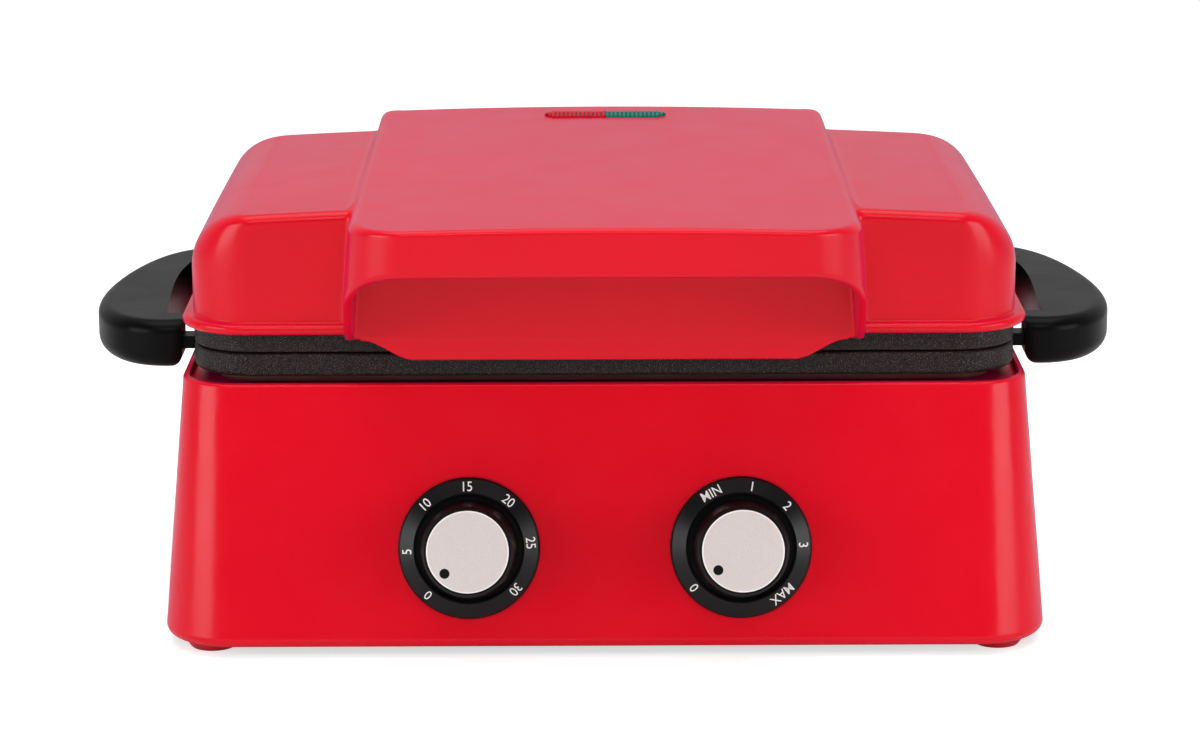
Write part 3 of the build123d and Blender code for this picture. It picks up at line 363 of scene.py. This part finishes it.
LID_HALF, LID_FRONT, LID_BACK, LID_CORNER = 158.0, -88.8, 127.8, 24.0
LID_CROWN, CROWN_RADIUS, BACK_FALL = 171.4, 2550.0, 3.0
SIDE_EDGE, FRONT_EDGE, BACK_EDGE, LID_WALL = 22.0, 3.5, 34.0, 2.2
CORNER_SHARE, STEEP_ABOVE_TOP = 0.9, 8
OPENING_HALF, OPENING_FRONT, OPENING_BACK, OPENING_CORNER = 158.4, -86.9, 127.9, 24.4
RIM_HALF, RIM_FRONT, RIM_BACK, RIM_CORNER = 162.0, -92.5, 131.5, 26.0
RIM_Z, RIM_THICK, RIM_EDGE, RIM_FILLET, SEAT_Z = 124.5, 4.0, 1.8, 0.7, 124.2
PANEL_CROWN, PANEL_HALF, PANEL_SPREAD = 175.4, 94.0, 4.5 / 60.4
PANEL_FRONT, PANEL_BACK, PANEL_EDGE, PANEL_BACK_EDGE = -151.0, 118.0, 4.0, 10.0
PANEL_FRONT_EDGE, PANEL_WALL, STEP_ROUND = 2.0, 2.6, 3.5
HOOD_CORNER, HOOD_WALL, HOOD_ROOF, LIP_EDGE = 24.0, 3.0, 4.0, 1.3
SCOOP_BACK, SCOOP_ROUND, SCOOP_BACK_ROUND, SCOOP_EDGE = -95.0, 4.0, 1.5, 1.2
LIP = ((-156, 159.3), (-151, 158.3), (-141.5, 151.5), (-127, 141), (-113, 129), (-93, 121.5))
TONGUE_Z, TONGUE_HALF, TONGUE_TOP_Z, TONGUE_TOP_HALF = 113.3, 72.0, 121.0, 92.0
TONGUE_Y, TONGUE_THICK, TONGUE_EDGE, TONGUE_FILLET = -93.6, 2.8, 0.9, 1.0
TONGUE_ROOT_Z, TONGUE_STEEPNESS = 140, 1.15
LENS_Y, LENS_HALF_DEPTH, LENS_SHOULDER, LENS_TIP = 87.5, 6.0, 22.0, 25.5
LENS_OVERLAP, LENS_FLOOR_Z = 0.5, 160

# The grid in which the surface is found: start, end and step of each run
GRID_ACROSS = (
    (0, 20, 4), (20, 28, 1), (28, 66, 3.8), (66, 90, 1.5), (90, 101, 0.6), (101, 132, 3.1), (132, 164, 1),
)
GRID_ALONG = (
    (-152.5, -143.5, 0.6), (-143.5, -124, 1.5), (-124, -97, 1.8), (-97, -84, 0.5), (-84, -62, 1.6),
    (-62, 78, 4), (78, 96, 0.9), (96, 133, 1),
)
GRID_UPWARD = ((112, 128, 0.5), (128, 148, 1.8), (148, 177, 0.55))
SETTLE_ROUNDS, SETTLE_STEP, SETTLE_REACH, NORMAL_REACH = 4, 0.4, 0.05, 0.12


def both(a, b, edge=0.0):
    """The common part of two fields, with the edge between them rounded."""
    return np.minimum(np.maximum(a, b), -edge) + np.hypot(np.maximum(a + edge, 0), np.maximum(b + edge, 0))


def either(a, b, edge=0.0):
    """Two fields joined, with the inner corner between them filled to a radius."""
    return -both(-a, -b, edge)


def ease(low, high, value):
    share = np.clip((value - low) / (high - low), 0, 1)
    return share * share * (3 - 2 * share)


def crown(x, top):
    """Height of a crowned top at x."""
    return top - CROWN_RADIUS + np.sqrt(CROWN_RADIUS**2 - x * x)


def plan(x, y, half, front, back, corner):
    """Field of a rounded rectangle, and the share of its outward direction that points along Y."""
    u = np.abs(x) - half + corner
    v = np.abs(y - (front + back) / 2) - (back - front) / 2 + corner
    reach = np.hypot(np.maximum(u, 0), np.maximum(v, 0))
    lean = np.sign(y - (front + back) / 2) * np.maximum(v, 0) / np.maximum(reach, 1e-9)
    return reach + np.minimum(np.maximum(u, v), 0) - corner, lean


def drawn_in(depth, radius):
    """How far a rounded edge has drawn in from its wall at a depth under the top, and on above the top."""
    left = np.clip(radius - depth, 0, radius)
    return radius - np.sqrt(radius**2 - left**2) + STEEP_ABOVE_TOP * np.maximum(-depth, 0)


def lid_box(x, y, z):
    """The low part of the lid: round shoulders at the sides and the back, and a tight edge in front."""
    share = np.clip((y - LID_FRONT) / (LID_BACK - LID_FRONT), 0, 1)
    depth = crown(x, LID_CROWN) - BACK_FALL * share**2 - z
    front, back = LID_FRONT + drawn_in(depth, FRONT_EDGE), LID_BACK - drawn_in(depth, BACK_EDGE)
    side = drawn_in(depth, SIDE_EDGE)
    corner = LID_CORNER - CORNER_SHARE * np.minimum(side, SIDE_EDGE)
    wall, _ = plan(x, y, LID_HALF - side, front, back, corner)
    return both(both(wall, -depth), RIM_Z - z)


def panel_half(z):
    """Half width of the raised panel, which spreads towards its foot."""
    return PANEL_HALF + PANEL_SPREAD * (crown(PANEL_HALF, PANEL_CROWN) - z)


def panel(x, y, z):
    corner = np.where(y < 0, HOOD_CORNER, PANEL_BACK_EDGE)
    wall, lean = plan(x, y, panel_half(z), PANEL_FRONT, PANEL_BACK, corner)
    edge = PANEL_EDGE + (PANEL_BACK_EDGE - PANEL_EDGE) * ease(0.0, 1.0, lean)
    edge -= (PANEL_EDGE - PANEL_FRONT_EDGE) * ease(0.0, 1.0, -lean)
    return both(wall, z - crown(x, PANEL_CROWN), edge)


def hood(x, y, z):
    """The panel with its front end cut to the lip's curve underneath."""
    curve = np.polyfit(*zip(*LIP), 3)
    reach = np.clip(y, LIP[0][0], LIP[-1][0])
    steepness = np.polyval(np.polyder(curve), reach)
    return both(panel(x, y, z), (np.polyval(curve, reach) - z) / np.hypot(1, steepness), LIP_EDGE)


def rim(x, y, z):
    wall, _ = plan(x, y, RIM_HALF, RIM_FRONT, RIM_BACK, RIM_CORNER)
    return both(wall, np.abs(z - RIM_Z) - RIM_THICK / 2, RIM_EDGE)


def tongue(x, y, z):
    """The plate under the hood that hangs in front of the cooking plates, with curved ends."""
    rise = (TONGUE_TOP_Z - TONGUE_Z) * ease(TONGUE_HALF, TONGUE_TOP_HALF, np.abs(x))
    sheet = np.abs(y - TONGUE_Y) - TONGUE_THICK / 2
    slab = both(sheet, (TONGUE_Z + rise - z) / TONGUE_STEEPNESS, TONGUE_EDGE)
    return both(slab, both(np.abs(x) - TONGUE_TOP_HALF, z - TONGUE_ROOT_Z))


def finger_scoop(x, y, z):
    """The hollow in the hood, open below."""
    half, front = panel_half(z) - HOOD_WALL, PANEL_FRONT + HOOD_WALL
    sides = both(np.abs(x) - half, front - y, HOOD_CORNER - HOOD_WALL)
    roofed = both(sides, z - crown(x, PANEL_CROWN - HOOD_ROOF), SCOOP_ROUND)
    return both(roofed, y - SCOOP_BACK, SCOOP_BACK_ROUND)


def inside_of_lid(x, y, z):
    """The hollow over the upper plate, and the opening that the plate fills."""
    under_panel = both(panel(x, y, z) + PANEL_WALL, LID_FRONT + LID_WALL - y)
    opening, _ = plan(x, y, OPENING_HALF, OPENING_FRONT, OPENING_BACK, OPENING_CORNER)
    return either(either(lid_box(x, y, z + LID_WALL) + LID_WALL, under_panel), both(opening, z - SEAT_Z))


def lens_slot(x, y):
    """A pointed bar, a little smaller than the lenses that fill it."""
    along, across = np.abs(x - LENS_X), np.abs(y - LENS_Y)
    slant = np.hypot(LENS_HALF_DEPTH, LENS_TIP - LENS_SHOULDER)
    tip = (along - LENS_TIP) * LENS_HALF_DEPTH + across * (LENS_TIP - LENS_SHOULDER)
    return both(across - LENS_HALF_DEPTH, tip / slant) + LENS_OVERLAP


def whole_lid(x, y, z):
    shape = either(lid_box(x, y, z), hood(x, y, z), STEP_ROUND)
    shape = either(shape, rim(x, y, z), RIM_FILLET)
    shape = either(shape, tongue(x, y, z), TONGUE_FILLET)
    shape = both(shape, -finger_scoop(x, y, z), SCOOP_EDGE)
    shape = both(shape, -inside_of_lid(x, y, z))
    return both(shape, -both(lens_slot(x, y), LENS_FLOOR_Z - z))


def stations(*runs):
    """Places along one axis: each run is (start, end, step)."""
    places = [np.linspace(a, b, round((b - a) / step), endpoint=False) for a, b, step in runs]
    return np.concatenate([*places, [runs[-1][1]]])


def slide(array, axis, start, stop):
    """A view of a grid array from start to stop along one axis."""
    cut = [slice(None)] * array.ndim
    cut[axis] = slice(start, stop if stop else None)
    return array[tuple(cut)]


def surface_net(field, places):
    """Vertices and faces of a field's zero surface: a vertex in each cell and a face across each edge."""
    grid = np.meshgrid(*places, indexing="ij")
    value = field(*grid)
    within = value < 0
    cells = tuple(len(run) - 1 for run in places)
    total, count = np.zeros((*cells, 3)), np.zeros(cells)
    for axis in range(3):
        low, high = slide(value, axis, 0, -1), slide(value, axis, 1, None)
        crossed = (low < 0) != (high < 0)
        share = np.where(crossed, low / np.where(crossed, low - high, 1), 0)
        spot = np.stack([slide(part, axis, 0, -1) for part in grid], axis=-1)
        spot[..., axis] += share * np.diff(slide(grid[axis], axis, 0, None), axis=axis)
        spot *= crossed[..., None]
        one, two = [other for other in range(3) if other != axis]
        for a in (0, 1):
            for b in (0, 1):
                total += slide(slide(spot, one, a, a - 1), two, b, b - 1)
                count += slide(slide(crossed, one, a, a - 1), two, b, b - 1)
    used = count > 0
    number = np.full(cells, -1)
    number[used] = np.arange(used.sum())
    points = total[used] / count[used][:, None]
    faces = []
    for axis in range(3):
        one, two = [other for other in range(3) if other != axis]
        leaving = slide(within, axis, 0, -1) & ~slide(within, axis, 1, None)
        entering = ~slide(within, axis, 0, -1) & slide(within, axis, 1, None)
        for crossed, order in ((leaving, 1), (entering, -1)):
            spots = np.argwhere(slide(slide(crossed, one, 1, -1), two, 1, -1))
            spots[:, [one, two]] += 1
            ring = []
            for a, b in ((0, 0), (-1, 0), (-1, -1), (0, -1)):
                corner = spots.copy()
                corner[:, one] += a
                corner[:, two] += b
                ring.append(number[tuple(corner.T)])
            turn = order if axis != 1 else -order
            faces.append(np.stack(ring[::turn], axis=-1))
    return points, np.concatenate(faces)


def slope(field, points, reach):
    """Gradient of a field at scattered points."""
    parts = []
    for axis in range(3):
        step = np.zeros(3)
        step[axis] = reach
        parts.append((field(*(points + step).T) - field(*(points - step).T)) / (2 * reach))
    return np.stack(parts, axis=-1)


def lid_skin(material):
    """Stands for the lid's shell and hood, with every edge rounded."""
    half = stations(*GRID_ACROSS)
    across = np.concatenate([-half[:0:-1], half])
    points, faces = surface_net(whole_lid, (across, stations(*GRID_ALONG), stations(*GRID_UPWARD)))
    for _ in range(SETTLE_ROUNDS):
        rise = slope(whole_lid, points, SETTLE_REACH)
        steep = np.maximum((rise**2).sum(axis=1), 0.25)
        points -= np.clip(whole_lid(*points.T) / steep, -SETTLE_STEP, SETTLE_STEP)[:, None] * rise
    rise = slope(whole_lid, points, NORMAL_REACH)
    normals = rise / np.maximum(np.linalg.norm(rise, axis=1), 1e-9)[:, None]
    mesh = bpy.data.meshes.new("lid_skin")
    mesh.from_pydata(points * MM, [], faces)
    mesh.shade_smooth()
    mesh.normals_split_custom_set_from_vertices(normals)
    skin = mesh_object("lid_skin", mesh, material, "lid")
    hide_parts("lid_shell", "lid_hood")


# Stage, lights and camera, in metres and degrees

FLOOR_HALF = 6.0
CAMERA_YAW, CAMERA_PITCH, CAMERA_ROLL = 0.23, 13.79, -0.15
CAMERA_PLACE = (-7.2 * MM, (FRONT_FOOT_Y - 1343.3) * MM, 443.6 * MM)
FOCAL_PX, PHOTO_WIDTH_PX, SENSOR_MM = 3701.6, 1200, 36.0


def floor(material):
    mesh = bpy.data.meshes.new("floor_stage")
    build = bmesh.new()
    bmesh.ops.create_grid(build, x_segments=1, y_segments=1, size=FLOOR_HALF)
    build.to_mesh(mesh)
    build.free()
    obj = bpy.data.objects.new("floor_stage", mesh)
    bpy.context.scene.collection.objects.link(obj)
    mesh.materials.append(material)


def area_light(name, location, target, size, energy):
    data = bpy.data.lights.new(name, "AREA")
    data.shape = "RECTANGLE"
    data.size, data.size_y = size
    data.energy = energy
    obj = bpy.data.objects.new(name, data)
    obj.location = location
    aim = Vector(target) - Vector(location)
    obj.rotation_euler = aim.to_track_quat("-Z", "Y").to_euler()
    bpy.context.scene.collection.objects.link(obj)


def floor_material():
    """A pale floor that looks white to the camera and still keeps the object's shadow."""
    shader = Shader("floor").set(roughness=0.85, specular_ior_level=0.1)
    patches = shader.span(shader.noise(2.0), 0.3, 0.7, 0.0, 1.0)
    shader.color(shader.mix(patches, (0.80, 0.80, 0.80), (0.82, 0.82, 0.82)))
    path = shader.node("ShaderNodeLightPath")
    shader.bsdf.inputs["Emission Color"].default_value = (1, 1, 1, 1)
    strength = shader.span(path.outputs["Is Camera Ray"], 0.0, 1.0, 0.0, 0.62)
    shader.link(strength, shader.bsdf.inputs["Emission Strength"])
    return shader.material


def world():
    """White to the camera. Reflections see a pale backdrop behind the object and a dark room in front."""
    made = bpy.data.worlds.new("studio")
    bpy.context.scene.world = made
    made.use_nodes = True
    tree = made.node_tree
    links = tree.links
    background = tree.nodes["Background"]
    path = tree.nodes.new("ShaderNodeLightPath")
    place = tree.nodes.new("ShaderNodeTexCoord")
    split = tree.nodes.new("ShaderNodeSeparateXYZ")
    links.new(place.outputs["Generated"], split.inputs["Vector"])
    behind = tree.nodes.new("ShaderNodeMapRange")
    behind.inputs["From Min"].default_value = -0.35
    behind.inputs["From Max"].default_value = 0.55
    links.new(split.outputs["Y"], behind.inputs["Value"])

    def mix(share, first, second):
        node = tree.nodes.new("ShaderNodeMix")
        node.data_type = "RGBA"
        links.new(share, node.inputs[0])
        for socket, color in ((node.inputs[6], first), (node.inputs[7], second)):
            if isinstance(color, bpy.types.NodeSocket):
                links.new(color, socket)
            else:
                socket.default_value = (color, color, color, 1)
        return node.outputs[2]

    reflected = mix(behind.outputs["Result"], 0.03, 0.48)
    lit = mix(path.outputs["Is Glossy Ray"], 0.36, reflected)
    links.new(mix(path.outputs["Is Camera Ray"], lit, 1.0), background.inputs["Color"])
    background.inputs["Strength"].default_value = 1.0


def lights():
    area_light("top_softbox", (0.0, -0.1, 1.5), (0, 0, 0.1), (1.6, 1.2), 14.5)
    area_light("front_softbox", (0.0, -1.9, 1.5), (0, 0, 0.08), (1.6, 0.7), 10.0)
    area_light("left_softbox", (-1.4, -0.9, 0.34), (0, 0, 0.1), (1.0, 0.6), 8.5)
    area_light("right_softbox", (1.4, -0.9, 0.34), (0, 0, 0.1), (1.0, 0.6), 8.0)


def camera():
    """The camera that a fit to the photo gives, in the part's frame."""
    yaw, pitch, roll = radians(CAMERA_YAW), radians(CAMERA_PITCH), radians(CAMERA_ROLL)
    forward = Vector((sin(yaw) * cos(pitch), cos(yaw) * cos(pitch), -sin(pitch)))
    level = forward.cross(Vector((0, 0, 1))).normalized()
    upright = level.cross(forward)
    right = level * cos(roll) + upright * sin(roll)
    up = upright * cos(roll) - level * sin(roll)
    data = bpy.data.cameras.new("camera")
    data.lens = FOCAL_PX / PHOTO_WIDTH_PX * SENSOR_MM
    data.sensor_width = SENSOR_MM
    data.clip_end = 20.0
    obj = bpy.data.objects.new("camera", data)
    place = Matrix((right, up, -forward)).transposed().to_4x4()
    place.translation = CAMERA_PLACE
    obj.matrix_world = place
    bpy.context.scene.collection.objects.link(obj)
    bpy.context.scene.camera = obj


def build_stage():
    floor(floor_material())
    world()
    lights()
    camera()
    bpy.context.scene.view_settings.view_transform = "Standard"


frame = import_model()
finishes = dress_frame(frame)
dial_labels()
painted_highlight_rings()
lid_skin(finishes["red_paint"])
build_stage()
bpy.context.view_layer.update()
